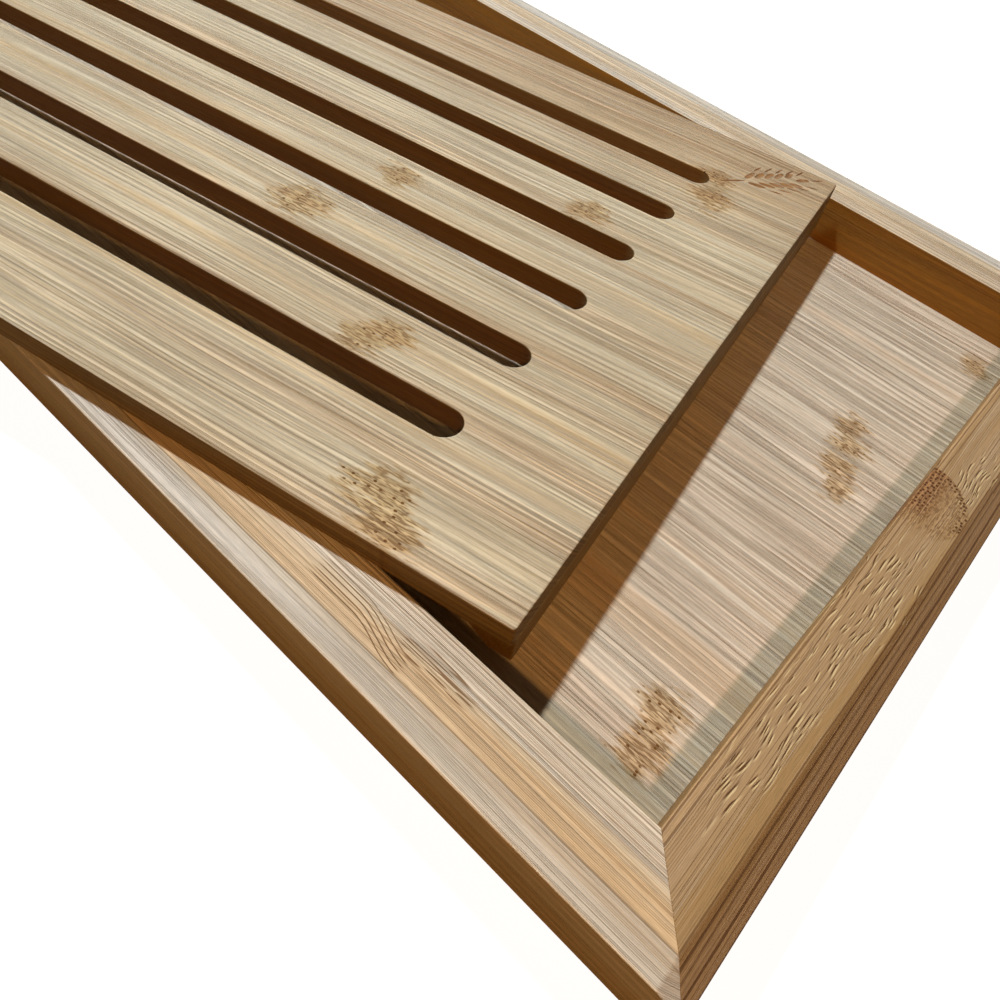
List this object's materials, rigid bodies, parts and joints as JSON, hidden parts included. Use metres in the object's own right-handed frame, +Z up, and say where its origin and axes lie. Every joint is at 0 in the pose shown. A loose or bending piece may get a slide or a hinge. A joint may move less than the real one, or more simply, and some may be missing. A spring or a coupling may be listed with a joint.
{
  "type": "bread board with crumb tray",
  "caption": "Slotted bread cutting board lying askew on a shallow mitred crumb tray; crumbs fall through the slots and the board lifts off.",
  "frame": {"origin": "middle of the tray's underside, on the surface it stands on", "axes": "+X along the board's slots towards the end that hangs inside the tray, +Y from the board's near edge to its far edge, +Z up; the tray lies turned 11.24 degrees clockwise seen from above"},
  "size_m": [0.4603, 0.333, 0.0283],
  "materials": {
    "rail_bamboo": "sanded and lightly oiled laminated bamboo",
    "floor_bamboo": "sanded and lightly oiled bamboo panel with fine fibre lines",
    "board_bamboo": "sanded and lightly oiled bamboo panel with fine fibre lines",
    "batten_bamboo": "sanded bamboo"
  },
  "bodies": {
    "tray": {"tray_rail_near": "rail_bamboo", "tray_rail_far": "rail_bamboo", "tray_rail_left": "rail_bamboo", "tray_rail_right": "rail_bamboo", "tray_floor": "floor_bamboo"},
    "board": {"board_plate": "board_bamboo", "board_batten_left": "batten_bamboo", "board_batten_right": "batten_bamboo"}
  },
  "joints": [
    {"name": "board_lift", "type": "slide", "parent": "tray", "child": "board", "axis": [0, 0, 1], "range_m": [0, 0.1]}
  ]
}
